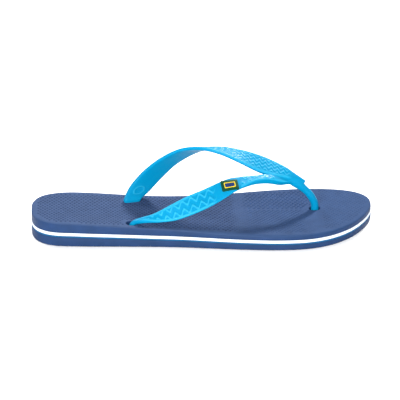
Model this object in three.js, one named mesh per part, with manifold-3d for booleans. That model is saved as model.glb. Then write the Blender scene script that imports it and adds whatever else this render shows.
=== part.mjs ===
// Right-foot flip flop: a four-layer laminated sole and a moulded Y strap.
// Millimetres. +X points to the toe, +Y to the big-toe (medial) side, +Z up, and the sole stands on z = 0.
import * as THREE from 'three';
import { mergeVertices } from 'three/addons/utils/BufferGeometryUtils.js';
import Module from 'manifold-3d';

// Sole
const SOLE_LENGTH = 280;
const HALF_LENGTH = SOLE_LENGTH / 2;
const FOREFOOT_THICKNESS = 13;
const HEEL_RISE = 7.2; // how much thicker the sole is at the heel
const STRIPE = { white: 2.6, blue: 1.3 };
const OUTSOLE = { forefoot: 4.7, heelExtra: 3.3 };
const GLUE_LINE = 0.3; // clearance between neighbouring layers
const EDGE_CHAMFER = 1.2;
const FLEX_X = 52; // the ball of the foot, where the sole bends
const FLEX_GAP = 0.3;
const REAR_STATIONS = 24;
const FRONT_STATIONS = 14;

// Strap anchors: a stem through the sole with a mushroom plug in a recess below
const REAR_ANCHOR = { x: -59, medialY: 21.5, lateralY: -27 };
const TOE_ANCHOR = { x: 93, y: 8 };
const STEM_R = 4;
const STEM_CLEARANCE = 0.5;
const STEM_TOP = 17; // where the rear stems pass into the band
const PLUG_R = 7.2;
const PLUG_CLEARANCE = 0.6;
const REAR_PLUG = { bottom: 0.8, top: 4.2, recess: 4.6 };
const TOE_PLUG = { bottom: 0.6, top: 3.0, recess: 3.3 };

// Strap
const STRAP_THICKNESS = 3.2;
const VAMP_THICKNESS = 5; // where the arms join above the toe post
const RING_POINTS = 14;
const EDGE_ROUNDNESS = 0.55; // exponent of the rounded strap section
const STEPS_PER_STATION = 3;
const SEAM_GAP = 0.3;
const TOE_POST_R = { across: 3.4, along: 3.3 };

// Badge on the lateral arm: its span along the arm (0 to 1) and across it (-1 inner edge, 1 outer edge), how far
// it drifts across between its two ends, and how far the frame, its window and the panel lie in from its rim
const BADGE = {
  start: 0.514,
  end: 0.614,
  inner: -0.66,
  outer: 0.56,
  drift: 0.6,
  frameInset: 0.12,
  windowInset: 0.26,
  panelInset: 0.32,
};

const COLOURS = {
  navy: 0x3d5688,
  white: 0xf4f7fa,
  blue: 0x1f62a8,
  turquoise: 0x18a8e0,
  green: 0x0f7a4a,
  yellow: 0xe6cf3a,
  darkBlue: 0x1a2c52,
};

const v3 = (x, y, z) => new THREE.Vector3(x, y, z);
const wasm = await Module();
wasm.setup();

// ---------- closed solids from rings of points ----------

/** A closed solid through rings of equal point count, with a fan on each end ring. */
function loft(rings) {
  const count = rings[0].length;
  const positions = rings.flat();
  const index = [];
  for (let r = 0; r + 1 < rings.length; r++) {
    for (let i = 0; i < count; i++) {
      const a = r * count + i;
      const b = r * count + ((i + 1) % count);
      index.push(a, b, b + count, a, b + count, a + count);
    }
  }
  for (const [ring, flipped] of [[0, true], [rings.length - 1, false]]) {
    const centre = rings[ring].reduce((sum, p) => sum.add(p), v3(0, 0, 0)).divideScalar(count);
    const hub = positions.push(centre) - 1;
    for (let i = 0; i < count; i++) {
      const a = ring * count + i;
      const b = ring * count + ((i + 1) % count);
      index.push(...(flipped ? [hub, b, a] : [hub, a, b]));
    }
  }
  if (signedVolume(positions, index) < 0) index.reverse();
  const geometry = new THREE.BufferGeometry().setFromPoints(positions);
  geometry.setIndex(index);
  return geometry;
}

function signedVolume(positions, index) {
  let volume = 0;
  for (let i = 0; i < index.length; i += 3) {
    const [a, b, c] = [0, 1, 2].map((k) => positions[index[i + k]]);
    volume += a.dot(b.clone().cross(c)) / 6;
  }
  return volume;
}

function toSolid(geometry) {
  const bare = geometry.index ? geometry.clone() : geometry.toNonIndexed();
  bare.deleteAttribute('normal');
  bare.deleteAttribute('uv');
  const merged = mergeVertices(bare, 1e-4);
  return new wasm.Manifold(new wasm.Mesh({
    numProp: 3,
    vertProperties: new Float32Array(merged.attributes.position.array),
    triVerts: new Uint32Array(merged.index.array),
  }));
}

function toGeometry(solid) {
  const mesh = solid.getMesh();
  const geometry = new THREE.BufferGeometry();
  geometry.setAttribute('position', new THREE.BufferAttribute(mesh.vertProperties, 3));
  geometry.setIndex(new THREE.BufferAttribute(mesh.triVerts, 1));
  geometry.computeVertexNormals();
  return geometry;
}

function drill(x, y, radius, bottom, top) {
  const cutter = new THREE.CylinderGeometry(radius, radius, top - bottom, 32);
  cutter.rotateX(Math.PI / 2);
  cutter.translate(x, y, (top + bottom) / 2);
  return toSolid(cutter);
}

const group = new THREE.Group();

function addPiece(name, geometry, color, roughness) {
  const mesh = new THREE.Mesh(geometry, new THREE.MeshStandardMaterial({ color, roughness, metalness: 0 }));
  mesh.name = name;
  group.add(mesh);
}

// ---------- sole ----------

const OUTLINE = new THREE.CatmullRomCurve3([
  v3(-140, 1, 0),
  v3(-136.5, -19, 0),
  v3(-125, -30.5, 0),
  v3(-100, -34.3, 0),
  v3(-60, -36.6, 0),
  v3(-20, -39.7, 0),
  v3(28, -46.4, 0),
  v3(60, -49.2, 0),
  v3(85, -47.4, 0),
  v3(103, -40.2, 0),
  v3(120, -26, 0),
  v3(134.5, -3, 0),
  v3(140, 16, 0),
  v3(138.5, 30, 0),
  v3(130, 40.5, 0),
  v3(113, 47.3, 0),
  v3(88, 49.2, 0),
  v3(58, 46.6, 0),
  v3(20, 39, 0),
  v3(-17, 33, 0),
  v3(-50, 32.2, 0),
  v3(-92, 34, 0),
  v3(-117, 32.9, 0),
  v3(-132, 26.5, 0),
  v3(-138.5, 15, 0),
], true, 'centripetal').getPoints(500);

/** Lowest and highest y of the sole's outline at x. */
function widthAt(x) {
  const crossings = [];
  for (let i = 0; i + 1 < OUTLINE.length; i++) {
    const [a, b] = [OUTLINE[i], OUTLINE[i + 1]];
    if ((a.x - x) * (b.x - x) <= 0 && a.x !== b.x) {
      crossings.push(a.y + ((x - a.x) / (b.x - a.x)) * (b.y - a.y));
    }
  }
  return [Math.min(...crossings), Math.max(...crossings)];
}

// Share of the heel's extra thickness along the sole, from heel to toe
const WEDGE = new THREE.SplineCurve([
  new THREE.Vector2(-145, 1),
  new THREE.Vector2(-112, 1),
  new THREE.Vector2(-80, 0.76),
  new THREE.Vector2(-45, 0.46),
  new THREE.Vector2(-10, 0.28),
  new THREE.Vector2(30, 0.09),
  new THREE.Vector2(75, 0),
  new THREE.Vector2(145, 0),
]).getPoints(200);

function wedgeAt(x) {
  const i = WEDGE.findIndex((p) => p.x >= x);
  const [a, b] = [WEDGE[i - 1], WEDGE[i]];
  return a.y + ((x - a.x) / (b.x - a.x)) * (b.y - a.y);
}

/** Heights of the layer boundaries at x, from the ground up. */
function levelsAt(x) {
  const wedge = wedgeAt(x);
  const outsole = OUTSOLE.forefoot + OUTSOLE.heelExtra * wedge;
  const blue = outsole + STRIPE.blue;
  const white = blue + STRIPE.white;
  return [0, outsole, blue, white, FOREFOOT_THICKNESS + HEEL_RISE * wedge];
}

/** X stations from an end of the sole to the flex line, close together at the rounded end. */
function stations(end, stop, count) {
  return Array.from({ length: count + 1 }, (_, i) => {
    const share = Math.max(1 - Math.cos((Math.PI / 2) * (i / count)), 0.002);
    return end + (stop - end) * share;
  });
}

/** One layer of one half of the sole; the top layer also has chamfered upper edges. */
function layer(xs, level) {
  const chamfer = level === 3 ? EDGE_CHAMFER : 0;
  return loft(xs.map((x) => {
    const [low, high] = widthAt(x);
    const bottom = levelsAt(x)[level] + (level === 0 ? 0 : GLUE_LINE / 2);
    const top = levelsAt(x)[level + 1] - (level === 3 ? 0 : GLUE_LINE / 2);
    const cut = Math.min(chamfer, (high - low) / 4);
    if (chamfer === 0) {
      return [v3(x, low, bottom), v3(x, high, bottom), v3(x, high, top), v3(x, low, top)];
    }
    return [
      v3(x, low, bottom),
      v3(x, high, bottom),
      v3(x, high, top - cut),
      v3(x, high - cut, top),
      v3(x, low + cut, top),
      v3(x, low, top - cut),
    ];
  }));
}

const LAYERS = [
  { name: 'outsole', color: COLOURS.navy, roughness: 0.6 },
  { name: 'midsole_blue', color: COLOURS.blue, roughness: 0.6 },
  { name: 'midsole_white', color: COLOURS.white, roughness: 0.6 },
  { name: 'footbed', color: COLOURS.navy, roughness: 0.7 },
];

const HALVES = [
  {
    name: 'rear',
    xs: stations(-HALF_LENGTH, FLEX_X - FLEX_GAP / 2, REAR_STATIONS),
    anchors: [
      { x: REAR_ANCHOR.x, y: REAR_ANCHOR.medialY, recess: REAR_PLUG.recess },
      { x: REAR_ANCHOR.x, y: REAR_ANCHOR.lateralY, recess: REAR_PLUG.recess },
    ],
  },
  {
    name: 'front',
    xs: stations(HALF_LENGTH, FLEX_X + FLEX_GAP / 2, FRONT_STATIONS).reverse(),
    anchors: [{ x: TOE_ANCHOR.x, y: TOE_ANCHOR.y, recess: TOE_PLUG.recess }],
  },
];

for (const half of HALVES) {
  LAYERS.forEach(({ name, color, roughness }, level) => {
    let solid = toSolid(layer(half.xs, level));
    for (const { x, y, recess } of half.anchors) {
      solid = solid.subtract(drill(x, y, STEM_R + STEM_CLEARANCE, -1, 30));
      if (level === 0) solid = solid.subtract(drill(x, y, PLUG_R + PLUG_CLEARANCE, -1, recess));
    }
    addPiece(`${name}_${half.name}`, toGeometry(solid), color, roughness);
  });
}

// ---------- strap ----------

/** Closed stem with a mushroom plug at its foot, turned about a vertical axis. */
function stemSolid(x, y, plug, top) {
  const profile = [
    [0, plug.bottom],
    [PLUG_R - 0.6, plug.bottom],
    [PLUG_R, plug.bottom + 0.6],
    [PLUG_R, plug.top - 0.4],
    [PLUG_R - 0.4, plug.top],
    [STEM_R, plug.top],
    [STEM_R, top - 1],
    [STEM_R - 1, top],
    [0, top],
  ].map(([radius, z]) => new THREE.Vector2(radius, z));
  const geometry = new THREE.LatheGeometry(profile, 24);
  geometry.rotateX(Math.PI / 2);
  geometry.translate(x, y, 0);
  return toSolid(geometry);
}

/** An arm as curves along its inner and outer edges, with its thickness at each station. */
function armFrom(list) {
  const edges = [0, 1].map((side) => new THREE.CatmullRomCurve3(list.map((s) => v3(...s[side])), false, 'catmullrom'));
  const centreAt = (t) => edges[0].getPoint(t).add(edges[1].getPoint(t)).divideScalar(2);
  return {
    steps: (list.length - 1) * STEPS_PER_STATION,
    frameAt(t) {
      const centre = centreAt(t);
      const across = edges[1].getPoint(t).sub(centre);
      const run = centreAt(Math.min(t + 0.004, 1)).sub(centreAt(Math.max(t - 0.004, 0)));
      const up = run.cross(across).normalize();
      const place = Math.min(t * (list.length - 1), list.length - 1.001);
      const i = Math.floor(place);
      return { centre, across, up, thickness: THREE.MathUtils.lerp(list[i][2], list[i + 1][2], place - i) };
    },
  };
}

/** The arm's band: a section with rounded edges carried along the arm. */
function bandSolid(arm) {
  const rings = Array.from({ length: arm.steps + 1 }, (_, step) => {
    const { centre, across, up, thickness } = arm.frameAt(step / arm.steps);
    return Array.from({ length: RING_POINTS }, (__, i) => {
      const angle = (2 * Math.PI * (i + 0.5)) / RING_POINTS;
      const [c, s] = [Math.cos(angle), Math.sin(angle)];
      return centre.clone()
        .addScaledVector(across, Math.sign(c) * Math.abs(c) ** EDGE_ROUNDNESS)
        .addScaledVector(up, Math.sign(s) * Math.abs(s) ** EDGE_ROUNDNESS * (thickness / 2));
    });
  });
  return toSolid(loft(rings));
}

// Each station: a point on the arm's inner (upper) edge, one on its outer (lower) edge, and the thickness
const MEDIAL_ARM = armFrom([
  [[-62, 21.2, 15.5], [-56, 21.8, 15.5], 6],
  [[-62.2, 21.5, 20.6], [-53.3, 24.6, 19.8], 5],
  [[-59.5, 22.5, 27], [-45.8, 29.8, 19.8], 4],
  [[-54.8, 24, 33.2], [-39, 32.5, 25.5], 3.4],
  [[-47.3, 25, 41.1], [-31, 34, 33.6], STRAP_THICKNESS],
  [[-34, 23.5, 52.2], [-20, 34, 43.5], STRAP_THICKNESS],
  [[-17.7, 20, 61.4], [-8, 32.5, 51.8], STRAP_THICKNESS],
  [[-1.5, 14, 64.5], [4, 30, 57.7], STRAP_THICKNESS],
  [[14.7, 9, 61.8], [18, 27, 59.6], STRAP_THICKNESS],
  [[30.9, 5, 55.1], [33, 22.5, 58.8], STRAP_THICKNESS],
  [[44.7, 1.5, 48.7], [47, 18, 56.2], 3.6],
  [[57, -1, 45], [58, 15, 52], 4.2],
  [[67.5, 1, 41.8], [69, 10.8, 47.2], VAMP_THICKNESS],
  [[77, 3, 38.6], [78.5, 8, 41.8], VAMP_THICKNESS],
  [[83, 4.6, 37], [84, 6.8, 38], 4],
]);

const LATERAL_ARM = armFrom([
  [[-62, -26.8, 15.5], [-56, -27.2, 15.5], 6],
  [[-61.3, -25.6, 20.4], [-54.8, -30.6, 20], 5],
  [[-50.5, -26, 23.8], [-48.5, -33.5, 21.5], 4],
  [[-40, -29, 28.7], [-37, -35.3, 21.8], 3.4],
  [[-28, -30.2, 35], [-24, -37.5, 23.7], STRAP_THICKNESS],
  [[-14, -28, 40.7], [-10, -38, 28.3], STRAP_THICKNESS],
  [[0, -24.5, 45], [4, -35.5, 33.4], STRAP_THICKNESS],
  [[13.2, -20.5, 49.4], [14.5, -32, 38], STRAP_THICKNESS],
  [[22.4, -16, 50.4], [23.5, -28, 42.4], STRAP_THICKNESS],
  [[32, -10.5, 48.8], [32, -22.5, 43.9], STRAP_THICKNESS],
  [[44, -4, 46.7], [42.5, -16.5, 45], 3.6],
  [[57, 2, 45.2], [53, -9.5, 43.3], 4.2],
  [[67, 4, 42.6], [63.7, -3.5, 39], VAMP_THICKNESS],
  [[77, 6, 40], [72, 1, 37.4], VAMP_THICKNESS],
  [[83.6, 7, 38], [81, 4, 36.8], 4],
]);

// The two arms are one moulding; they part here at the vertical plane through the seam of the V
const SEAM = { from: [57, 0.7], to: [84, 6] };

function strapArms() {
  const bands = bandSolid(MEDIAL_ARM).add(bandSolid(LATERAL_ARM));
  const run = [SEAM.to[0] - SEAM.from[0], SEAM.to[1] - SEAM.from[1]];
  const length = Math.hypot(...run);
  const normal = [-run[1] / length, run[0] / length, 0];
  const offset = normal[0] * SEAM.from[0] + normal[1] * SEAM.from[1];
  const sideOf = (direction, y) => bands
    .trimByPlane(normal.map((n) => n * direction), offset * direction + SEAM_GAP / 2)
    .add(stemSolid(REAR_ANCHOR.x, y, REAR_PLUG, STEM_TOP));
  return { medial: sideOf(1, REAR_ANCHOR.medialY), lateral: sideOf(-1, REAR_ANCHOR.lateralY) };
}

const arms = strapArms();
addPiece('strap_arm_medial', toGeometry(arms.medial), COLOURS.turquoise, 0.3);
addPiece('strap_arm_lateral', toGeometry(arms.lateral), COLOURS.turquoise, 0.3);

/** The post between the toes: an oval bar that curves down into the sole, with its plug. */
function toePost() {
  const path = new THREE.CatmullRomCurve3([
    v3(79.3, 5.6, 32.5),
    v3(82.2, 6.1, 30.6),
    v3(85.3, 6.6, 28),
    v3(88.6, 7.2, 24.4),
    v3(91.3, 7.8, 19.8),
    v3(92.7, 8, 15.8),
    v3(TOE_ANCHOR.x, TOE_ANCHOR.y, 11),
    v3(TOE_ANCHOR.x, TOE_ANCHOR.y, 6),
  ]);
  const steps = 18;
  const side = v3(0, 1, 0);
  const rings = Array.from({ length: steps + 1 }, (_, step) => {
    const t = step / steps;
    const forward = side.clone().cross(path.getTangent(t)).normalize();
    return Array.from({ length: RING_POINTS }, (__, i) => {
      const angle = (2 * Math.PI * i) / RING_POINTS;
      return path.getPoint(t)
        .addScaledVector(side, TOE_POST_R.across * Math.cos(angle))
        .addScaledVector(forward, TOE_POST_R.along * Math.sin(angle));
    });
  });
  return toSolid(loft(rings)).add(stemSolid(TOE_ANCHOR.x, TOE_ANCHOR.y, TOE_PLUG, 10));
}

addPiece('toe_post', toGeometry(toePost()), COLOURS.turquoise, 0.3);

// ---------- badge ----------

/** A pad that follows the lateral arm's outer face, between two heights above its middle surface. */
function badgePad(inset, low, high) {
  const steps = 6;
  const { start, end, inner, outer, drift } = BADGE;
  const [marginAlong, marginAcross] = [inset * (end - start), inset * (outer - inner)];
  return toSolid(loft(Array.from({ length: steps + 1 }, (_, step) => {
    const t = THREE.MathUtils.lerp(start + marginAlong, end - marginAlong, step / steps);
    const shift = drift * ((t - start) / (end - start) - 0.5);
    const { centre, across, up, thickness } = LATERAL_ARM.frameAt(t);
    const corner = (share, lift) => centre.clone()
      .addScaledVector(across, share)
      .addScaledVector(up, -(thickness / 2 + lift));
    const [a, b] = [inner + marginAcross + shift, outer - marginAcross + shift];
    return [corner(a, low), corner(b, low), corner(b, high), corner(a, high)];
  })));
}

const frame = badgePad(BADGE.frameInset, 1.5, 2.1).subtract(badgePad(BADGE.windowInset, 0, 4));
addPiece('badge_plate', toGeometry(badgePad(0, 0.3, 1.2)), COLOURS.green, 0.4);
addPiece('badge_frame', toGeometry(frame), COLOURS.yellow, 0.4);
addPiece('badge_panel', toGeometry(badgePad(BADGE.panelInset, 1.5, 1.9)), COLOURS.darkBlue, 0.4);

export default group;
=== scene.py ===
"""The flip flop's visual model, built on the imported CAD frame.

Shapes are worked out in millimetres in the frame's axes (+X toe, +Y big-toe side, +Z up) and turned into
metres when a mesh is made. Places come from the CAD nodes; the strap's own curves are listed below.
"""
import math

import bpy
import numpy as np
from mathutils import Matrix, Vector
from mathutils.geometry import delaunay_2d_cdt
from mathutils.kdtree import KDTree


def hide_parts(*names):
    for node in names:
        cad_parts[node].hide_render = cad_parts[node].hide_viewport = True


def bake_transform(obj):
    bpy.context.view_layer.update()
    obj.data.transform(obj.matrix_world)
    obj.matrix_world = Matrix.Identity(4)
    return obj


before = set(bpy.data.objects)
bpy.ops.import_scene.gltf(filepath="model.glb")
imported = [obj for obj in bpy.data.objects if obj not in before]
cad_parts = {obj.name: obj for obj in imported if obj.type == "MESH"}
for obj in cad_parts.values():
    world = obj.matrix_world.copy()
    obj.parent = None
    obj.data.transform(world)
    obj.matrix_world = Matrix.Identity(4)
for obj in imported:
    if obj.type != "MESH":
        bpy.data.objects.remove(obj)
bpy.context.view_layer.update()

MM = 0.001

# Sole
OUTLINE_POINTS = 900
OUTLINE_SOFTENING = 3.0  # mm, rounds off the facets of the CAD outline
END_CAP = np.array([0.8, 0])  # how far the round ends pass the flat ends of the CAD outline
HEIGHT_SOFTENING = 9.0  # mm, the same for the layer heights along the sole
LAYER_GAP = 0.12
LAYER_BEVEL = 0.28
TOP_EDGE = {"heel": 1.3, "waist": 3.6, "toe": 1.8}  # rounding of the footbed's upper edge
GROUND_EDGE = 1.0
DISH = {"heel": 0.9, "ball": 0.8}
PLAIN_SPACING = 5.0  # between the fill points of a cap without studs
BORE_R = 4.5
MOUTH = {"flare": 0.7, "depth": 0.8}  # how each bore widens at the top of the footbed
RECESS_R = 7.8
RECESS_TOP = {"strap_arm_medial": 4.6, "strap_arm_lateral": 4.6, "toe_post": 3.3}
CIRCLE_POINTS = 48
BLOCKS = {"points": 4000, "studs": 200}  # how many are compared at once, to save memory
FADE_LENGTH = 8.0
NO_FADE = (-1000, 1000)

# Fields of studs on the footbed: the x and y they cover, their pitch, the margin to the rounded rim, the x
# range at whose ends they fade, and each stud's size, height (sunken if negative) and taper
DIMPLES = {
    "x": (-138.4, 30),
    "y": (-44, 44),
    "pitch": (3.7, 2.75),
    "margin": 2.6,
    "fade": (-180, 30),
    "sides": 6,
    "size": (1.05, 1.7),
    "height": -0.45,
    "taper": 0.45,
}
TRIANGLES = {
    "x": (31, 92),
    "y": (9, 46),
    "pitch": (3.9, 3.1),
    "margin": 4,
    "fade": (31, 92),
    "sides": 3,
    "size": (1.5, 2.0),
    "height": 0.75,
    "taper": 0.25,
}
RIBS = {
    "x": (32, 86),
    "y": (-46, 6),
    "pitch": (3.8, 2.3),
    "margin": 4,
    "fade": (32, 86),
    "half_run": (1.1, 0.7),
    "width": 0.9,
    "height": 0.35,
    "taper": 0.4,
}
TOE_DIMPLES = {
    "x": (99, 136),
    "y": (-40, 47),
    "pitch": (3.5, 2.7),
    "margin": 3,
    "fade": NO_FADE,
    "sides": 6,
    "size": (0.75, 1.05),
    "height": -0.26,
    "taper": 0.4,
}
TREAD = {"pitch": (8.5, 5.6), "swing": 1.7, "margin": 5.5, "width": 1.9, "depth": 1.0}

# Strap
VOXEL = 0.44
ARM_SAMPLES = 361
SECTION_POINTS = 40
BADGE_POINTS = 64
STEM_R = 4.0
PLUG_R = 7.2
PLUGS = {  # bottom and top of each plug, and the top of its stem inside the strap
    "strap_arm_medial": (0.8, 4.2, 15),
    "strap_arm_lateral": (0.8, 4.2, 14.5),
    "toe_post": (0.6, 3.0, 10),
}
RIM = {"height": 0.34, "width": 1.9}
ZIGZAGS = {
    "medial": {"height": 0.3, "width": 1.15, "period": 5.2, "swing": 1.5, "spacing": 4.0},
    "lateral": {"height": 0.4, "width": 1.5, "period": 7.6, "swing": 2.3, "spacing": 6.8},
}

# Each station of an arm: a point on its inner (upper) edge, one on its outer (lower) edge, the thickness
MEDIAL_STATIONS = [
    ((-62, 21.2, 15.5), (-56, 21.8, 15.5), 6),
    ((-64.6, 16.8, 18), (-50.6, 21.6, 17.4), 6.4),
    ((-62.2, 19.4, 23.4), (-46, 27.2, 19.4), 5.4),
    ((-58.6, 22.2, 28.8), (-41.8, 30.4, 22.4), 4.4),
    ((-54.3, 24, 33.8), (-37.6, 32.8, 26), 3.4),
    ((-47.3, 25, 41.1), (-30.4, 34, 33.4), 3.2),
    ((-34, 23.5, 52.2), (-20, 34, 43.5), 3.2),
    ((-17.7, 20, 61.4), (-8, 32.5, 51.8), 3.2),
    ((-1.5, 14, 64.5), (4, 30, 57.7), 3.2),
    ((14.7, 9, 61.8), (18, 27, 59.6), 3.2),
    ((30.9, 5, 55.1), (33, 22.5, 58.8), 3.2),
    ((44.7, 1.5, 48.7), (47, 18, 56.2), 3.6),
    ((57, -1, 45), (58, 15, 52), 4.2),
    ((67.5, 1, 41.8), (69, 10.8, 47.2), 5),
    ((77, 3, 38.6), (78.5, 8, 41.8), 4.6),
    ((85, 5.4, 36.8), (86, 6.6, 37.2), 2.2),
]
LATERAL_STATIONS = [
    ((-60.6, -26.2, 12.5), (-58, -27.8, 12), 5),
    ((-59.6, -25.6, 16.4), (-56.4, -28.4, 15.4), 4),
    ((-55.4, -25.6, 18.9), (-53.6, -30.4, 18.2), 3.8),
    ((-49.4, -26.8, 21), (-47.8, -33.2, 20.4), 3.6),
    ((-40, -29, 25.9), (-37, -35.6, 20.8), 3.4),
    ((-28, -30.2, 33.4), (-24, -37.5, 23), 3.2),
    ((-14, -28, 40), (-10, -38, 28), 3.2),
    ((0, -24.5, 44.6), (4, -35.5, 33.4), 3.2),
    ((13.2, -20.5, 49.2), (14.5, -32, 38), 3.2),
    ((22.4, -16, 50.4), (23.5, -28, 42.4), 3.2),
    ((32, -10.5, 48.8), (32, -22, 44.3), 3.6),
    ((44, -4.8, 46.2), (42.8, -14.8, 45.4), 5),
    ((57, 1.5, 44.4), (53.5, -7.8, 43), 6.2),
    ((67, 4, 41.6), (64, -2.8, 39), 6.6),
    ((77, 6, 39), (73, 1.8, 37.2), 5.6),
    ((85.4, 6.6, 37), (83, 5, 36.6), 2.4),
]
POST_PATH = [
    (74.5, 5.2, 38),
    (78.8, 5.8, 35),
    (82, 6.2, 32.3),
    (85.1, 6.6, 29.3),
    (87.6, 7, 26.5),
    (89.7, 7.4, 23.5),
    (91.4, 7.8, 20.4),
    (92.7, 8, 17.2),
    (93.2, 8, 13),
    (93, 8, 6),
]
POST_R = {"across": 3.3, "along": 3.2, "flare": 1.25}
MARK = {"along": 14.5, "across": -1.5, "radius": 4.2, "width": 0.55, "height": 0.28}
BADGE_GREEN = ("badge_green", (2, 54, 36), (6, 66, 44))
BADGE_YELLOW = ("badge_yellow", (206, 176, 30), (222, 194, 50))
BADGE_BLUE = ("badge_blue", (18, 34, 78), (26, 46, 96))
BADGE = {"from_tip": 71.2, "across": -0.5, "length": 13.8, "width": 9.8, "turn": 19, "corner": 1.1}

# Stage, in metres, watts and degrees
FLOOR = {"half_side": 6000, "height": -0.2}  # mm
WORLD_STRENGTH = 0.68
LIGHTS = [
    {"name": "key_right", "place": (0.95, 2.2, 1.8), "target": (0, 0, 0), "size": 0.5, "power": 140},
    {"name": "key_left", "place": (-1.5, 1.85, 1.8), "target": (0, 0, 0), "size": 0.7, "power": 40},
    {"name": "front", "place": (-0.5, -2.4, 0.95), "target": (0, 0, 0.02), "size": 1.2, "power": 100},
]
CAMERA = {
    "azimuth": -2.6,
    "elevation": 23,
    "distance": 2.184,
    "aim": (-0.0022, -0.0016, 0.0255),
    "lens": 239.7,
}


# ---------- small tools ----------


def ease(x, low, high):
    """0 below low, 1 above high, and a smooth step between them."""
    t = np.clip((np.asarray(x, float) - low) / (high - low), 0, 1)
    return t * t * (3 - 2 * t)


def bump(x, centre, reach):
    """1 at centre, falling smoothly to 0 at the given reach on both sides."""
    return 1 - ease(np.abs(np.asarray(x, float) - centre), 0, reach)


def unit(vectors):
    return vectors / np.maximum(np.linalg.norm(vectors, axis=-1, keepdims=True), 1e-9)


def softened(values, spread, closed=False):
    """A Gaussian blur of evenly spaced values; spread counts samples."""
    reach = int(math.ceil(spread * 3))
    kernel = np.exp(-0.5 * (np.arange(-reach, reach + 1) / spread) ** 2)
    kernel /= kernel.sum()
    padded = np.pad(values, reach, mode="wrap" if closed else "edge")
    return np.convolve(padded, kernel, mode="valid")


def node_points(*names):
    """The vertices of CAD nodes, in millimetres."""
    return np.concatenate([[v.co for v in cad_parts[n].data.vertices] for n in names]) / MM


def make_piece(name, points, faces, material, sharp_angle=None):
    """A smooth-shaded object from points in millimetres; edges above sharp_angle stay crisp."""
    mesh = bpy.data.meshes.new(name)
    mesh.from_pydata((np.asarray(points) * MM).tolist(), [], [list(f) for f in faces])
    mesh.update()
    mesh.shade_smooth()
    if sharp_angle is not None:
        mesh.set_sharp_from_angle(angle=math.radians(sharp_angle))
    mesh.materials.append(material)
    piece = bpy.data.objects.new(name, mesh)
    bpy.context.scene.collection.objects.link(piece)
    return piece


def store(piece, relief):
    """Keeps each point's height above the plain surface, in millimetres, for the material to read."""
    attribute = piece.data.attributes.new("relief", "FLOAT", "POINT")
    attribute.data.foreach_set("value", relief.astype(np.float32))


def strip(lower, upper):
    """Quads between two equal closed rows of vertex numbers, facing outwards when they run anticlockwise."""
    count = len(lower)
    return [
        (lower[i], lower[(i + 1) % count], upper[(i + 1) % count], upper[i])
        for i in range(count)
    ]


def loft(rings):
    """Vertices and faces of a closed shell through rings of equal count, with a fan on each end."""
    count = rings.shape[1]
    points = np.vstack([rings.reshape(-1, 3), rings[0].mean(0), rings[-1].mean(0)])
    rows = np.arange(len(rings) * count).reshape(len(rings), count)
    faces = [f for a, b in zip(rows, rows[1:]) for f in strip(a, b)]
    first, last = len(points) - 2, len(points) - 1
    for i in range(count):
        j = (i + 1) % count
        faces.append((first, rows[0][j], rows[0][i]))
        faces.append((last, rows[-1][i], rows[-1][j]))
    return points, faces


# ---------- materials ----------


class Nodes:
    """A short way to write a node material."""

    def __init__(self, name):
        self.material = bpy.data.materials.new(name)
        self.material.use_nodes = True
        self.tree = self.material.node_tree
        self.shader = self.tree.nodes["Principled BSDF"]

    def add(self, kind, **settings):
        node = self.tree.nodes.new(kind)
        for key, value in settings.items():
            setattr(node, key, value)
        return node

    def link(self, source, target):
        self.tree.links.new(source, target)

    def values(self, **sockets):
        for key, value in sockets.items():
            self.shader.inputs[key.replace("_", " ")].default_value = value

    def place(self):
        """Object coordinates, which stay with the mesh."""
        return self.add("ShaderNodeTexCoord").outputs["Object"]

    def noise(self, scale, detail):
        noise = self.add("ShaderNodeTexNoise")
        noise.inputs["Scale"].default_value = scale
        noise.inputs["Detail"].default_value = detail
        self.link(self.place(), noise.inputs["Vector"])
        return noise.outputs["Fac"]

    def ramp(self, fac, low, high, start=0.3, end=0.7):
        """A colour running from low to high as fac goes from start to end."""
        ramp = self.add("ShaderNodeValToRGB")
        ramp.color_ramp.elements[0].position = start
        ramp.color_ramp.elements[1].position = end
        ramp.color_ramp.elements[0].color = (*low, 1)
        ramp.color_ramp.elements[1].color = (*high, 1)
        self.link(fac, ramp.inputs["Fac"])
        return ramp.outputs["Color"]

    def relief(self, fac, depth, before=None):
        """A bump of the given depth in metres."""
        node = self.add("ShaderNodeBump")
        node.inputs["Distance"].default_value = depth
        self.link(fac, node.inputs["Height"])
        if before is not None:
            self.link(before, node.inputs["Normal"])
        self.link(node.outputs["Normal"], self.shader.inputs["Normal"])
        return node.outputs["Normal"]

    def relief_value(self, low, high):
        """The stored relief, as 0 at low to 1 at high millimetres."""
        node = self.add("ShaderNodeAttribute", attribute_name="relief")
        scale = self.add("ShaderNodeMapRange")
        scale.inputs["From Min"].default_value = low
        scale.inputs["From Max"].default_value = high
        self.link(node.outputs["Fac"], scale.inputs["Value"])
        return scale.outputs["Result"]

    def multiply(self, colour, other, factor=1.0):
        mix = self.add("ShaderNodeMix", data_type="RGBA", blend_type="MULTIPLY")
        mix.inputs["Factor"].default_value = factor
        self.link(colour, mix.inputs["A"])
        self.link(other, mix.inputs["B"])
        return mix.outputs["Result"]


def srgb(r, g, b):
    """Linear colour from 0 to 255 display values."""
    return tuple(
        c / 12.92 if c <= 0.04045 else ((c + 0.055) / 1.055) ** 2.4
        for c in (r / 255, g / 255, b / 255)
    )


def foam(name, dark, light):
    """Closed-cell foam rubber: a fine cellular grain over a faint cloudy colour change."""
    cell_scale, depth = 2600, 0.00012
    nodes = Nodes(name)
    nodes.link(nodes.ramp(nodes.noise(90, 5), dark, light), nodes.shader.inputs["Base Color"])
    cells = nodes.relief(nodes.noise(cell_scale, 2), depth)
    nodes.relief(nodes.noise(240, 4), depth * 2, cells)
    nodes.values(Roughness=0.6, IOR=1.47, Specular_IOR_Level=0.2)
    return nodes.material


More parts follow.
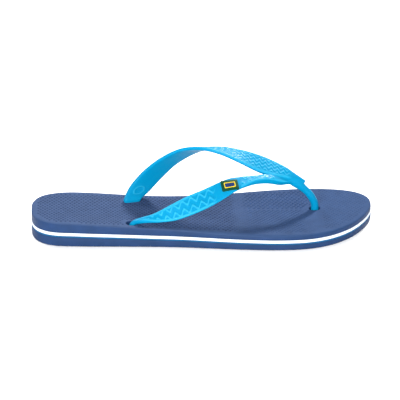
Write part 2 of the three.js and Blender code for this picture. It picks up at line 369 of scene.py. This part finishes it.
def grip_foam():
    """The moulded top: bluer and smoother at the toe, with painted light making it paler at the heel and
    darker towards the toe, painted shade in the dimples and painted highlight on the raised studs.
    """
    nodes = Nodes("foam_grip")
    split = nodes.add("ShaderNodeSeparateXYZ")
    nodes.link(nodes.place(), split.inputs["Vector"])
    along = nodes.add("ShaderNodeMapRange")
    along.inputs["From Min"].default_value = -0.02
    along.inputs["From Max"].default_value = 0.11
    nodes.link(split.outputs["X"], along.inputs["Value"])
    # painted light: the colour goes from paler at the heel to darker at the toe, standing in for the light
    # falling off along the sole
    ground = nodes.ramp(along.outputs["Result"], srgb(53, 71, 104), srgb(41, 63, 99), 0, 1)
    cloud = nodes.ramp(nodes.noise(120, 5), (0.93, 0.93, 0.93), (1.07, 1.07, 1.07))
    # painted shade darkens the dimples and painted highlight lightens the raised studs, read from the stored
    # relief
    heights = nodes.ramp(nodes.relief_value(-0.45, 0.75), (0.55, 0.55, 0.6), (1.5, 1.45, 1.4), 0, 1)
    middle = heights.node.color_ramp.elements.new(0.375)
    middle.color = (1, 1, 1, 1)
    colour = nodes.multiply(nodes.multiply(ground, cloud), heights)
    nodes.link(colour, nodes.shader.inputs["Base Color"])
    nodes.relief(nodes.noise(2600, 2), 0.00015)
    nodes.values(Roughness=0.75, IOR=1.47, Specular_IOR_Level=0.05)
    return nodes.material


def strap_plastic():
    """Soft satin moulding: painted highlight makes it pale where the relief stands up, deeper turquoise
    between.
    """
    nodes = Nodes("strap_plastic")
    height = nodes.relief_value(0.05, 0.36)
    # painted highlight: paler on the raised lines, rims and ring, deeper turquoise between them
    colour = nodes.ramp(height, srgb(0, 126, 168), srgb(34, 148, 184), 0, 1)
    cloud = nodes.ramp(nodes.noise(60, 4), (0.86, 0.9, 0.93), (1, 1, 1))
    nodes.link(nodes.multiply(colour, cloud, 0.35), nodes.shader.inputs["Base Color"])
    nodes.relief(nodes.noise(900, 3), 0.00006)
    nodes.values(
        Roughness=0.5,
        IOR=1.5,
        Specular_IOR_Level=0.05,
        Subsurface_Weight=0.15,
        Subsurface_Radius=(0.2, 0.6, 1.0),
        Subsurface_Scale=0.003,
        Coat_Weight=0.03,
        Coat_Roughness=0.16,
    )
    return nodes.material


def enamel(name, dark, light):
    """The badge's printed colours: satin, with a little mottling."""
    nodes = Nodes(name)
    nodes.link(nodes.ramp(nodes.noise(500, 4), dark, light), nodes.shader.inputs["Base Color"])
    nodes.relief(nodes.noise(1500, 2), 0.00004)
    nodes.values(Roughness=0.5, IOR=1.5, Specular_IOR_Level=0.12)
    return nodes.material


def floor_paint():
    """Plain matt near-white."""
    nodes = Nodes("floor_paint")
    nodes.values(Roughness=0.9)
    nodes.shader.inputs["Base Color"].default_value = (0.96, 0.96, 0.96, 1)
    return nodes.material


# ---------- sole: read from the frame ----------


def plug_centre(node):
    """x and y of the mushroom plug at the foot of a strap node."""
    points = node_points(node)
    low = points[points[:, 2] < 3]
    return ((low.min(0) + low.max(0)) / 2)[:2]


ANCHORS = {n: plug_centre(n) for n in ("strap_arm_medial", "strap_arm_lateral", "toe_post")}


def layer_stations(layer):
    """For one sole layer: x, lowest y, highest y, bottom and top at each CAD station, free of the bores."""
    points = node_points(f"{layer}_rear", f"{layer}_front")
    for centre in ANCHORS.values():
        points = points[np.linalg.norm(points[:, :2] - centre, axis=1) > PLUG_R + 1.5]
    rows = []
    for x in np.unique(np.round(points[:, 0], 2)):
        row = points[np.abs(points[:, 0] - x) < 0.02]
        rows.append((x, row[:, 1].min(), row[:, 1].max(), row[:, 2].min(), row[:, 2].max()))
    return np.array(rows)


def sole_outline():
    """The sole's outline, anticlockwise from above, with even spacing and the CAD facets rounded off."""
    rows = layer_stations("midsole_white")
    loop = np.vstack([rows[:, [0, 1]], rows[::-1][:, [0, 2]]])
    closed = np.vstack([loop, loop[:1]])
    length = np.concatenate([[0], np.cumsum(np.linalg.norm(np.diff(closed, axis=0), axis=1))])
    even = np.linspace(0, length[-1], OUTLINE_POINTS, endpoint=False)
    spread = OUTLINE_SOFTENING / (length[-1] / OUTLINE_POINTS)
    soft = np.column_stack(
        [softened(np.interp(even, length, closed[:, k]), spread, closed=True) for k in (0, 1)]
    )
    low, high = closed.min(0), closed.max(0)
    fitted = (soft - soft.min(0)) / (soft.max(0) - soft.min(0))
    return low - END_CAP + fitted * (high - low + 2 * END_CAP)


OUTLINE = sole_outline()
OUTWARD = unit(np.roll(OUTLINE, -1, 0) - np.roll(OUTLINE, 1, 0))[:, ::-1] * (1, -1)
HALF_LENGTH = np.abs(OUTLINE[:, 0]).max()
GRID_X = np.arange(-HALF_LENGTH - 20, HALF_LENGTH + 20)


def height_curve(layer, column):
    """A function giving a layer's bottom (column 3) or top (column 4) at any x."""
    rows = layer_stations(layer)
    values = softened(np.interp(GRID_X, rows[:, 0], rows[:, column]), HEIGHT_SOFTENING)
    return lambda x: np.interp(x, GRID_X, values)


def edge_distance(points):
    """Distance from each point to the sole's outline."""
    best = np.full(len(points), 1e9)
    for block in range(0, len(points), BLOCKS["points"]):
        part = slice(block, block + BLOCKS["points"])
        gap = np.linalg.norm(points[part, None, :] - OUTLINE[None, ::2, :], axis=2)
        best[part] = gap.min(1)
    return best


def outline_at(x):
    """Lowest and highest y of the outline at x."""
    lateral = OUTLINE[OUTWARD[:, 1] < 0]
    medial = OUTLINE[OUTWARD[:, 1] > 0]
    low = np.interp(x, *lateral[np.argsort(lateral[:, 0])].T)
    high = np.interp(x, *medial[np.argsort(medial[:, 0])].T)
    return low, high


def inside_sole(points, margin):
    """Which points lie inside the outline by at least the margin."""
    low, high = outline_at(points[:, 0])
    within = (points[:, 1] > low) & (points[:, 1] < high) & (np.abs(points[:, 0]) < HALF_LENGTH)
    return within & (edge_distance(points) > margin)


# ---------- sole: surfaces with moulded studs and bores ----------


def polygon(centre, radii, angles):
    """Corners at the given angles and radii round a centre."""
    return np.column_stack(
        [centre[0] + radii * np.cos(angles), centre[1] + radii * np.sin(angles)]
    )


def stud(centre, size, sides, height, taper):
    """A raised (or, with a negative height, sunken) stud: its foot, its smaller face and its height."""
    unit_ring = polygon((0, 0), 1, 2 * np.pi * np.arange(sides) / sides)
    return centre + unit_ring * size, centre + unit_ring * size * taper, height


def bar(start, end, width, height, taper):
    """A long stud from start to end with pointed ends."""
    start, end = np.asarray(start, float), np.asarray(end, float)
    along = unit(end - start)
    side = np.array([-along[1], along[0]])

    def ring(half, shorter):
        a, b = start + along * shorter, end - along * shorter
        return np.array(
            [
                a,
                a + along * half - side * half,
                b - along * half - side * half,
                b,
                b - along * half + side * half,
                a + along * half + side * half,
            ]
        )

    return ring(width / 2, 0), ring(width / 2 * taper, width / 2 * (1 - taper)), height


def surface(rim, bores, studs, spacing):
    """A flat triangulation inside a rim loop, outside the bores, with stud loops worked in.

    Returns the points, how far each stands above the surface, the triangles, and the vertex numbers of
    the rim and of each bore.
    """
    loops = [rim, *bores]
    lifts = [0.0] * len(loops)
    for foot, face, height in studs:
        loops += [foot, face]
        lifts += [0.0, height]
    points = np.vstack(loops)
    lift = np.concatenate([np.full(len(l), h) for l, h in zip(loops, lifts)])
    starts = np.cumsum([0] + [len(l) for l in loops])
    edges = [
        (a + i, a + (i + 1) % len(l)) for a, l in zip(starts, loops) for i in range(len(l))
    ]
    fill = grid_points(rim, spacing, bores, studs)
    points = np.vstack([points, fill])
    lift = np.concatenate([lift, np.zeros(len(fill))])
    found = delaunay_2d_cdt([Vector(p) for p in points], edges, [], 1, 1e-6)
    if len(found[0]) != len(points):
        raise RuntimeError("a stud crosses its neighbour, a bore or the rim")
    faces = np.array([f for f in found[2] if len(f) == 3])
    for first, bore in zip(starts[1:], bores):
        in_bore = ((faces >= first) & (faces < first + len(bore))).all(1)
        faces = faces[~in_bore]
    numbers = [np.arange(a, a + len(l)) for a, l in zip(starts, loops)]
    return points, lift, faces, numbers[0], numbers[1 : 1 + len(bores)]


def grid_points(rim, spacing, bores, studs):
    """Staggered fill points that keep clear of the rim, the bores and the studs."""
    inset = edge_distance(rim).mean()
    rows = []
    for k, y in enumerate(np.arange(rim[:, 1].min(), rim[:, 1].max(), spacing * 0.87)):
        xs = np.arange(rim[:, 0].min(), rim[:, 0].max(), spacing) + (k % 2) * spacing / 2
        rows.append(np.column_stack([xs, np.full(len(xs), y)]))
    points = np.vstack(rows)
    points = points[inside_sole(points, inset + spacing * 0.4)]
    centres = [(b.mean(0), np.linalg.norm(b - b.mean(0), axis=1).max()) for b in bores]
    centres += [(f.mean(0), np.linalg.norm(f - f.mean(0), axis=1).max()) for f, _, _ in studs]
    for block in range(0, len(centres), BLOCKS["studs"]):
        part = centres[block : block + BLOCKS["studs"]]
        middle = np.array([c for c, _ in part])
        reach = np.array([r for _, r in part]) + 0.25
        gap = np.linalg.norm(points[:, None, :] - middle[None], axis=2) - reach[None]
        points = points[gap.min(1) > 0]
    return points


def circle(centre, radius, count=CIRCLE_POINTS):
    return polygon(centre, radius, 2 * np.pi * np.arange(count) / count)


def slab(name, material, profile, caps, bore_rings, sharp_angle):
    """A sole layer from its side profile, its two cap surfaces and the rings down each bore.

    profile lists the (inset, height) functions of the rings between the two cap rims; caps holds the bottom
    and top (surface, height function); bore_rings lists (radius, height function of each bore) upwards.
    """
    points, faces, lifts = [], [], []
    (bottom, bottom_height), (top, top_height) = caps
    rims, bores = [], []
    for (flat, lift, triangles, rim, holes), height, flipped in (
        (bottom, bottom_height, True),
        (top, top_height, False),
    ):
        start = sum(len(p) for p in points)
        points.append(np.column_stack([flat, height(flat) + lift]))
        lifts.append(lift)
        ordered = triangles[:, ::-1] if flipped else triangles
        faces += (ordered + start).tolist()
        rims.append(rim + start)
        bores.append([h + start for h in holes])
    rows = [rims[0]]
    for inset, height in profile:
        ring = OUTLINE - OUTWARD * inset(OUTLINE)[:, None]
        rows.append(np.arange(len(ring)) + sum(len(p) for p in points))
        points.append(np.column_stack([ring, height(ring)]))
    rows.append(rims[1])
    faces += [f for a, b in zip(rows, rows[1:]) for f in strip(a, b)]
    for k, centre in enumerate(ANCHORS.values()):
        rows = [bores[0][k]]
        for radius, heights in bore_rings:
            ring = circle(centre, radius)
            rows.append(np.arange(len(ring)) + sum(len(p) for p in points))
            points.append(np.column_stack([ring, heights[k](ring)]))
        rows.append(bores[1][k])
        faces += [f[::-1] for a, b in zip(rows, rows[1:]) for f in strip(a, b)]
    points = np.vstack(points)
    relief = np.zeros(len(points))
    moulded = np.concatenate(lifts)
    relief[: len(moulded)] = moulded
    piece = make_piece(name, points, faces, material, sharp_angle)
    store(piece, relief)
    return piece


def rounded_side(bottom, top, low_radius, high_radius, steps):
    """Side rings of a slab with rounded lower and upper edges; every argument but steps is a function."""

    def low_ring(angle):
        return (
            lambda p: low_radius(p) * (1 - math.sin(angle)),
            lambda p: bottom(p) + low_radius(p) * (1 - math.cos(angle)),
        )

    def high_ring(angle):
        return (
            lambda p: high_radius(p) * (1 - math.cos(angle)),
            lambda p: top(p) - high_radius(p) * (1 - math.sin(angle)),
        )

    angles = [0.5 * math.pi * k / steps for k in range(steps + 1)]
    return [low_ring(a) for a in angles[1:]] + [high_ring(a) for a in angles[:-1]]


def seam(lower, upper):
    """The height of the contact between two neighbouring layers, as a function of points."""
    below, above = height_curve(lower, 4), height_curve(upper, 3)
    return lambda p: (below(p[:, 0]) + above(p[:, 0])) / 2


def shifted(height, offset):
    return lambda p: height(p) + offset


def steady(value):
    return lambda p: np.full(len(p), float(value))


FOOTBED_TOP = height_curve("footbed", 4)
SEAMS = {
    "outsole": (steady(0), seam("outsole", "midsole_blue")),
    "midsole_blue": (seam("outsole", "midsole_blue"), seam("midsole_blue", "midsole_white")),
    "midsole_white": (seam("midsole_blue", "midsole_white"), seam("midsole_white", "footbed")),
    "footbed": (seam("midsole_white", "footbed"), lambda p: FOOTBED_TOP(p[:, 0])),
}


def finish_layer(piece, layer):
    """A whole layer stands for its two CAD halves, which are hidden, and its placement is baked into its
    points.
    """
    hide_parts(f"{layer}_rear", f"{layer}_front")
    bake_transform(piece)


def rim_at(radius):
    return OUTLINE - OUTWARD * radius(OUTLINE)[:, None]


def midsole(layer, material):
    """One of the two thin stripes: a plain die-cut sheet with slightly softened edges."""
    bottom, top = SEAMS[layer]
    bottom, top = shifted(bottom, LAYER_GAP / 2), shifted(top, -LAYER_GAP / 2)
    radius = steady(LAYER_BEVEL)
    bores = [circle(c, BORE_R) for c in ANCHORS.values()]
    cap = surface(rim_at(radius), bores, [], PLAIN_SPACING)
    side = rounded_side(bottom, top, radius, radius, 2)
    finish_layer(slab(layer, material, side, ((cap, bottom), (cap, top)), [], 40), layer)


def top_edge(points):
    """How far the footbed's upper edge is rounded: crisp at the heel, soft along the outer waist."""
    x, y = points[:, 0], points[:, 1]
    waist = bump(x, 25, 75) * (y < 0)
    heel = TOP_EDGE["heel"] + (TOP_EDGE["waist"] - TOP_EDGE["heel"]) * waist
    return heel + (TOP_EDGE["toe"] - heel) * ease(x, 60, 110)


def footbed_height(points):
    """The top of the footbed, slightly dished under the heel and the ball of the foot."""
    x = points[:, 0]
    depth = DISH["heel"] * bump(x, -92, 80) + DISH["ball"] * bump(x, 60, 75)
    return FOOTBED_TOP(x) - depth * ease(edge_distance(points), 6, 28)


def stud_centres(field):
    """A staggered field of centres, a margin in from the rounded edge and clear of the strap's bores."""
    pitch_x, pitch_y = field["pitch"]
    rows = []
    for k, y in enumerate(np.arange(*field["y"], pitch_y)):
        xs = np.arange(*field["x"], pitch_x) + (k % 2) * pitch_x / 2
        rows.append(np.column_stack([xs, np.full(len(xs), y)]))
    points = np.vstack(rows)
    points = points[inside_sole(points, top_edge(points) + field["margin"])]
    for centre in ANCHORS.values():
        points = points[np.linalg.norm(points - centre, axis=1) > BORE_R + 3.2]
    return points


def fading(x_range, centre):
    """1 well inside a range of x, falling to 0.5 at its ends, so that one texture grows out of the next."""
    inside = min(centre[0] - x_range[0], x_range[1] - centre[0])
    return 0.5 + 0.5 * float(ease(inside, 0, FADE_LENGTH))


def field_stud(field, centre):
    """One stud or rib of a field, smaller where the field fades."""
    size = fading(field["fade"], centre)
    height = field["height"] * size
    if "half_run" in field:
        run = np.array(field["half_run"]) * size
        return bar(centre - run, centre + run, field["width"] * size, height, field["taper"])
    return stud(centre, np.array(field["size"]) * size, field["sides"], height, field["taper"])


def footbed_studs():
    """Grip texture: dimples, raised triangles under the big-toe joint, and fine ribs beside them."""
    fields = (DIMPLES, TRIANGLES, RIBS, TOE_DIMPLES)
    return [field_stud(field, centre) for field in fields for centre in stud_centres(field)]


def footbed(material, grip_material):
    bottom, top = SEAMS["footbed"]
    bottom = shifted(bottom, LAYER_GAP / 2)
    low_radius = steady(LAYER_BEVEL)
    bores = [circle(c, BORE_R) for c in ANCHORS.values()]
    mouths = [circle(c, BORE_R + MOUTH["flare"]) for c in ANCHORS.values()]
    side = rounded_side(bottom, top, low_radius, top_edge, 6)
    caps = (
        (surface(rim_at(low_radius), bores, [], PLAIN_SPACING), bottom),
        (surface(rim_at(top_edge), mouths, footbed_studs(), 2.4), footbed_height),
    )
    mouth_rings = [
        (BORE_R, [shifted(footbed_height, -MOUTH["depth"])] * len(ANCHORS)),
        (BORE_R + 0.25, [shifted(footbed_height, -0.25)] * len(ANCHORS)),
    ]
    piece = slab("footbed", material, side, caps, mouth_rings, 38)
    piece.data.materials.append(grip_material)
    upward = [1 if p.normal.z > 0.6 else 0 for p in piece.data.polygons]
    piece.data.polygons.foreach_set("material_index", upward)
    finish_layer(piece, "footbed")


def tread_bars():
    """Zig-zag grooves across the ground face, clear of the plug recesses."""
    bars = []
    pitch_x, pitch_y = TREAD["pitch"]
    for x in np.arange(-130, 132, pitch_x):
        for k, y in enumerate(np.arange(-45, 45, pitch_y)):
            swing = TREAD["swing"] if k % 2 else -TREAD["swing"]
            start, end = np.array([x - swing, y + 0.7]), np.array([x + swing, y + 4.9])
            ends = np.array([start, end])
            clear = min(np.linalg.norm(ends - c, axis=1).min() for c in ANCHORS.values())
            if inside_sole(ends, TREAD["margin"]).all() and clear > RECESS_R + 3:
                bars.append(bar(start, end, TREAD["width"], TREAD["depth"], 0.55))
    return bars


def outsole(material):
    bottom, top = SEAMS["outsole"]
    top = shifted(top, -LAYER_GAP / 2)
    ground_radius, top_radius = steady(GROUND_EDGE), steady(LAYER_BEVEL)
    recesses = [circle(c, RECESS_R) for c in ANCHORS.values()]
    bores = [circle(c, BORE_R) for c in ANCHORS.values()]
    side = rounded_side(bottom, top, ground_radius, top_radius, 3)
    caps = (
        (surface(rim_at(ground_radius), recesses, tread_bars(), 4.0), bottom),
        (surface(rim_at(top_radius), bores, [], PLAIN_SPACING), top),
    )
    ceilings = [steady(RECESS_TOP[n]) for n in ANCHORS]
    rings = [(RECESS_R, ceilings), (BORE_R, ceilings)]
    finish_layer(slab("outsole", material, side, caps, rings, 38), "outsole")


# ---------- strap ----------


def catmull_rom(points, shares):
    """Points of a uniform Catmull-Rom curve at shares of its run from 0 to 1."""
    points = np.asarray(points, float)
    spans = len(points) - 1
    padded = np.vstack([2 * points[0] - points[1], points, 2 * points[-1] - points[-2]])
    place = np.clip(np.asarray(shares, float) * spans, 0, spans - 1e-9)
    i = place.astype(int)
    f = (place - i)[:, None]
    a, b, c, d = (padded[i + k] for k in range(4))
    return 0.5 * (
        2 * b + (c - a) * f + (2 * a - 5 * b + 4 * c - d) * f**2 + (3 * b - a - 3 * c + d) * f**3
    )


def arm_curve(stations, outer_side):
    """An arm's middle surface: centre line, half-width vectors, outward normals, thickness and length."""
    shares = np.linspace(0, 1, ARM_SAMPLES)
    inner = catmull_rom([s[0] for s in stations], shares)
    outer = catmull_rom([s[1] for s in stations], shares)
    centre, across = (inner + outer) / 2, (outer - inner) / 2
    run = unit(np.gradient(centre, axis=0))
    normal = unit(np.cross(run, across)) * outer_side
    places = np.linspace(0, 1, len(stations))
    thickness = softened(np.interp(shares, places, [s[2] for s in stations]), 6)
    steps = np.linalg.norm(np.diff(centre, axis=0), axis=1)
    return {
        "centre": centre,
        "across": across,
        "run": run,
        "normal": normal,
        "thickness": thickness,
        "length": np.concatenate([[0], np.cumsum(steps)]),
    }


ARMS = {
    "medial": arm_curve(MEDIAL_STATIONS, 1),
    "lateral": arm_curve(LATERAL_STATIONS, -1),
}


def superellipse(count, power):
    """Unit section points with flat faces and round edges."""
    angles = 2 * np.pi * (np.arange(count) + 0.5) / count
    c, s = np.cos(angles), np.sin(angles)
    return np.sign(c) * np.abs(c) ** power, np.sign(s) * np.abs(s) ** power


def band(arm):
    """The shell of one arm."""
    across, out = superellipse(SECTION_POINTS, 0.5)
    rings = (
        arm["centre"][::2, None]
        + arm["across"][::2, None] * across[None, :, None]
        + arm["normal"][::2, None] * (out[None, :, None] * arm["thickness"][::2, None, None] / 2)
    )
    return loft(rings)


def post():
    """The shell of the post between the toes, flaring where it grows out of the V."""
    shares = np.linspace(0, 1, 40)
    centre = catmull_rom(POST_PATH, shares)
    run = unit(np.gradient(centre, axis=0))
    side = np.array([0.0, 1.0, 0.0])
    forward = unit(np.cross(side, run))
    grow = 1 + (POST_R["flare"] - 1) * (1 - ease(shares, 0.05, 0.4))
    angles = 2 * np.pi * np.arange(SECTION_POINTS) / SECTION_POINTS
    rings = (
        centre[:, None]
        + side * (POST_R["across"] * grow[:, None] * np.cos(angles))[..., None]
        + forward[:, None] * (POST_R["along"] * grow[:, None] * np.sin(angles))[..., None]
    )
    return loft(rings)


def plug(centre, bottom, top, stem_top):
    """The shell of a stem with its mushroom plug."""
    profile = [
        (0.2, bottom),
        (PLUG_R - 0.9, bottom),
        (PLUG_R - 0.2, bottom + 0.3),
        (PLUG_R, bottom + 0.9),
        (PLUG_R, top - 0.7),
        (PLUG_R - 0.7, top),
        (STEM_R + 0.2, top),
        (STEM_R, top + 0.4),
        (STEM_R, stem_top - 1.5),
        (STEM_R - 1.5, stem_top),
        (0.2, stem_top),
    ]
    rings = [
        np.column_stack([circle(centre, radius, SECTION_POINTS), np.full(SECTION_POINTS, z)])
        for radius, z in profile
    ]
    return loft(np.array(rings))


def outward(points, faces):
    """The faces, turned over if the shell was inside out."""
    tris = np.array([f[:3] for f in faces] + [(f[0], f[2], f[3]) for f in faces if len(f) == 4])
    a, b, c = (points[tris[:, k]] for k in range(3))
    if np.einsum("ij,ij->i", a, np.cross(b, c)).sum() < 0:
        return [f[::-1] for f in faces]
    return faces


def strap_shells():
    """All the overlapping shells of the moulding as one point and face list."""
    shells = [band(ARMS["medial"]), band(ARMS["lateral"]), post()]
    shells += [plug(ANCHORS[node], *heights) for node, heights in PLUGS.items()]
    points, faces = [], []
    for shell_points, shell_faces in shells:
        start = sum(len(p) for p in points)
        points.append(shell_points)
        faces += [tuple(i + start for i in f) for f in outward(shell_points, shell_faces)]
    return np.vstack(points), faces


def remeshed(points, faces):
    """The shells merged into one even quad skin."""
    mesh = bpy.data.meshes.new("strap_shells")
    mesh.from_pydata((points * MM).tolist(), [], faces)
    shell = bpy.data.objects.new("strap_shells", mesh)
    bpy.context.scene.collection.objects.link(shell)
    modifier = shell.modifiers.new("skin", "REMESH")
    modifier.mode = "VOXEL"
    modifier.voxel_size = VOXEL * MM
    skin = shell.evaluated_get(bpy.context.evaluated_depsgraph_get()).to_mesh()
    skin_points = np.array([v.co for v in skin.vertices]) / MM
    skin_faces = [tuple(p.vertices) for p in skin.polygons]
    edges = np.array([e.vertices for e in skin.edges])
    bpy.data.objects.remove(shell)
    bpy.data.meshes.remove(mesh)
    return skin_points, skin_faces, edges


def relaxed(points, edges, passes, weight):
    """Points drawn towards the mean of their neighbours, each by its own weight."""
    count = len(points)
    degree = np.bincount(edges.ravel(), minlength=count)[:, None]
    both = np.concatenate([edges, edges[:, ::-1]])
    for _ in range(passes):
        total = np.column_stack(
            [np.bincount(both[:, 0], points[both[:, 1], k], count) for k in range(3)]
        )
        points = points + weight[:, None] * (total / degree - points)
    return points


def arm_places(points):
    """For each arm: every point's distance from it, place along and across it, and its outward side."""
    found = {}
    shares = np.linspace(-1, 1, 25)
    for name, arm in ARMS.items():
        grid = arm["centre"][:, None] + arm["across"][:, None] * shares[None, :, None]
        tree = KDTree(grid.shape[0] * grid.shape[1])
        for i, p in enumerate(grid.reshape(-1, 3)):
            tree.insert(p, i)
        tree.balance()
        hits = [tree.find(p) for p in points]
        index = np.array([h[1] for h in hits])
        gap = np.array([h[2] for h in hits])
        i, j = index // len(shares), index % len(shares)
        nearest = arm["centre"][i] + arm["across"][i] * shares[j][:, None]
        offset = points - nearest
        half = np.linalg.norm(arm["across"][i], axis=1)
        along = arm["length"][i] + np.einsum("ij,ij->i", offset, arm["run"][i])
        across = shares[j] * half + np.einsum("ij,ij->i", offset, arm["across"][i]) / half
        found[name] = {
            "gap": gap,
            "along": along,
            "across": across,
            "half": half,
            "normal": arm["normal"][i],
            "left": arm["length"][-1] - along,
        }
    return found


def zigzag_height(along, across, half, waves):
    """Height of the moulded lines on an arm's outer face: rims at both edges and waves between them."""
    inside = half - np.abs(across)
    rim = RIM["height"] * bump(inside, RIM["width"] * 0.6, RIM["width"])
    phase = np.abs(((along / waves["period"]) % 1) * 2 - 1) * 2 - 1
    line = across - waves["swing"] * np.sin(1.3 * phase)
    nearest = np.abs((line / waves["spacing"]) % 1 - 0.5) * waves["spacing"]
    wave = waves["height"] * (1 - ease(nearest, 0.3, waves["width"]))
    return np.maximum(rim, wave * ease(inside, 1.2, 2.6))


def mark_height(along, across):
    """The plain raised ring near the foot of the medial arm's inner face."""
    reach = np.hypot(along - MARK["along"], across - MARK["across"])
    return MARK["height"] * (1 - ease(np.abs(reach - MARK["radius"]), 0.3, MARK["width"] * 1.6))


def strap_relief(points, normals):
    """How far each point of the smooth moulding rises, which also sets the painted highlight that makes the
    plastic pale there.
    """
    rise = np.zeros(len(points))
    places = arm_places(points)
    medial_nearer = places["medial"]["gap"] < places["lateral"]["gap"]
    for name, place in places.items():
        facing = np.einsum("ij,ij->i", normals, place["normal"])
        height = zigzag_height(place["along"], place["across"], place["half"], ZIGZAGS[name])
        height *= ease(facing, 0.35, 0.75)
        height *= ease(place["along"], 8, 18) * ease(place["left"], 10, 20)
        if name == "lateral":
            from_badge = place["left"] - BADGE["from_tip"]
            height *= 1 - ease(from_badge, -12, -9) * (1 - ease(from_badge, 10, 19))
        if name == "medial":
            height += mark_height(place["along"], place["across"]) * ease(-facing, 0.35, 0.75)
        near = medial_nearer if name == "medial" else ~medial_nearer
        rise = np.where(near, height, rise)
    return rise


def strap(material):
    """The whole soft moulding: both arms, the V, the toe post, stems and plugs."""
    points, faces, edges = remeshed(*strap_shells())
    joint = np.array(POST_PATH[1])
    fillet = 1 - ease(np.linalg.norm(points - joint, axis=1), 8, 16)
    points = relaxed(points, edges, 6, np.full(len(points), 0.5))
    points = relaxed(points, edges, 40, 0.5 * fillet)
    draft = make_piece("strap_draft", points, faces, material)
    normals = np.zeros(len(points) * 3)
    draft.data.vertex_normals.foreach_get("vector", normals)
    normals = normals.reshape(-1, 3)
    rise = strap_relief(points, normals)
    bpy.data.objects.remove(draft)
    piece = make_piece("strap", points + normals * rise[:, None], faces, material)
    store(piece, rise)
    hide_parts("strap_arm_medial", "strap_arm_lateral", "toe_post")
    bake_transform(piece)


# ---------- badge ----------


def badge_face_at(along, across):
    """Points of the lateral arm's outer face from millimetres along and across it, with its normals."""
    arm = ARMS["lateral"]

    def read(key):
        return np.column_stack([np.interp(along, arm["length"], arm[key][:, c]) for c in range(3)])

    normals = read("normal")
    sideways = read("across")
    run = unit(read("run"))
    sideways = unit(sideways - run * np.einsum("ij,ij->i", sideways, run)[:, None])
    middle = read("centre") + sideways * across[:, None]
    thickness = np.interp(along, arm["length"], arm["thickness"])
    return middle + normals * thickness[:, None] / 2, normals


def badge_loop(inset):
    """A rounded rectangle on the badge's face, as millimetres along and across the arm."""
    long_side = BADGE["length"] / 2 - inset
    short_side = BADGE["width"] / 2 - inset
    radius = min(max(BADGE["corner"] - inset * 0.5, 0.4), short_side)
    angles = 2 * np.pi * (np.arange(BADGE_POINTS) + 0.5) / BADGE_POINTS
    corner = np.column_stack([np.cos(angles), np.sin(angles)])
    loop = np.sign(corner) * (np.array([long_side, short_side]) - radius) + corner * radius
    turn = math.radians(BADGE["turn"])
    spin = np.array([[math.cos(turn), math.sin(turn)], [-math.sin(turn), math.cos(turn)]])
    middle = ARMS["lateral"]["length"][-1] - BADGE["from_tip"]
    return loop @ spin + (middle, BADGE["across"])


def badge_ring(inset, lift):
    flat = badge_loop(inset)
    points, normals = badge_face_at(flat[:, 0], flat[:, 1])
    return points + normals * lift


def badge_pad(name, paint, inset, low, high, window=None):
    """A softly bevelled pad on the badge, or a frame round a window; paint is (slot, dark, light)."""
    slot, dark, light = paint
    material = enamel(slot, srgb(*dark), srgb(*light))
    bevel = 0.25
    rings = [
        badge_ring(inset, low),
        badge_ring(inset, high - bevel),
        badge_ring(inset + bevel * 0.4, high - bevel * 0.3),
        badge_ring(inset + bevel, high),
    ]
    if window is None:
        room = BADGE["width"] / 2 - inset - bevel
        rings += [badge_ring(inset + bevel + room * share, high) for share in (0.3, 0.6, 0.9)]
        points, faces = loft(np.array(rings))
    else:
        rings += [
            badge_ring(window - bevel, high),
            badge_ring(window, high - bevel),
            badge_ring(window, low),
        ]
        rows = np.arange(len(rings) * BADGE_POINTS).reshape(len(rings), BADGE_POINTS)
        faces = [f for a, b in zip(rows, np.roll(rows, -1, 0)) for f in strip(a, b)]
        points = np.vstack(rings)
    piece = make_piece(f"{name}_moulded", points, outward(points, faces), material, 50)
    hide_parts(name)
    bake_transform(piece)


# ---------- stage, light and camera ----------


def stage_floor():
    side, height = FLOOR["half_side"], FLOOR["height"]
    points = [(x * side, y * side, height) for x, y in ((-1, -1), (1, -1), (1, 1), (-1, 1))]
    floor = make_piece("floor", points, [(0, 1, 2, 3)], floor_paint())


def area_light(name, place, target, size, power):
    light = bpy.data.lights.new(name, "AREA")
    light.shape = "DISK"
    light.size = size
    light.energy = power
    lamp = bpy.data.objects.new(name, light)
    lamp.location = place
    lamp.rotation_euler = (Vector(target) - Vector(place)).to_track_quat("-Z", "Y").to_euler()
    bpy.context.scene.collection.objects.link(lamp)


def soft_world(strength):
    world = bpy.data.worlds.new("soft_world")
    world.use_nodes = True
    background = world.node_tree.nodes["Background"]
    background.inputs["Color"].default_value = (1, 1, 1, 1)
    background.inputs["Strength"].default_value = strength
    bpy.context.scene.world = world


def camera(azimuth, elevation, distance, aim, lens):
    a, e = math.radians(azimuth), math.radians(elevation)
    back = Vector((math.sin(a) * math.cos(e), -math.cos(a) * math.cos(e), math.sin(e)))
    data = bpy.data.cameras.new("camera")
    data.lens = lens
    data.sensor_width = 36
    eye = bpy.data.objects.new("camera", data)
    eye.location = Vector(aim) + back * distance
    eye.rotation_euler = (-back).to_track_quat("-Z", "Y").to_euler()
    bpy.context.scene.collection.objects.link(eye)
    bpy.context.scene.camera = eye


navy = foam("foam_navy", srgb(20, 46, 82), srgb(26, 52, 92))
midsole("midsole_white", foam("foam_white", (0.62, 0.67, 0.74), (0.68, 0.73, 0.8)))
midsole("midsole_blue", foam("foam_blue", srgb(15, 76, 118), srgb(22, 86, 130)))
footbed(navy, grip_foam())
outsole(navy)
strap(strap_plastic())
badge_pad("badge_plate", BADGE_GREEN, inset=0, low=-0.6, high=0.7)
badge_pad("badge_frame", BADGE_YELLOW, inset=2.5, low=0.6, high=1.1, window=3.1)
badge_pad("badge_panel", BADGE_BLUE, inset=3.2, low=0.6, high=0.95)
stage_floor()
soft_world(WORLD_STRENGTH)
for light in LIGHTS:
    area_light(**light)
camera(**CAMERA)
bpy.context.scene.view_settings.view_transform = "Standard"
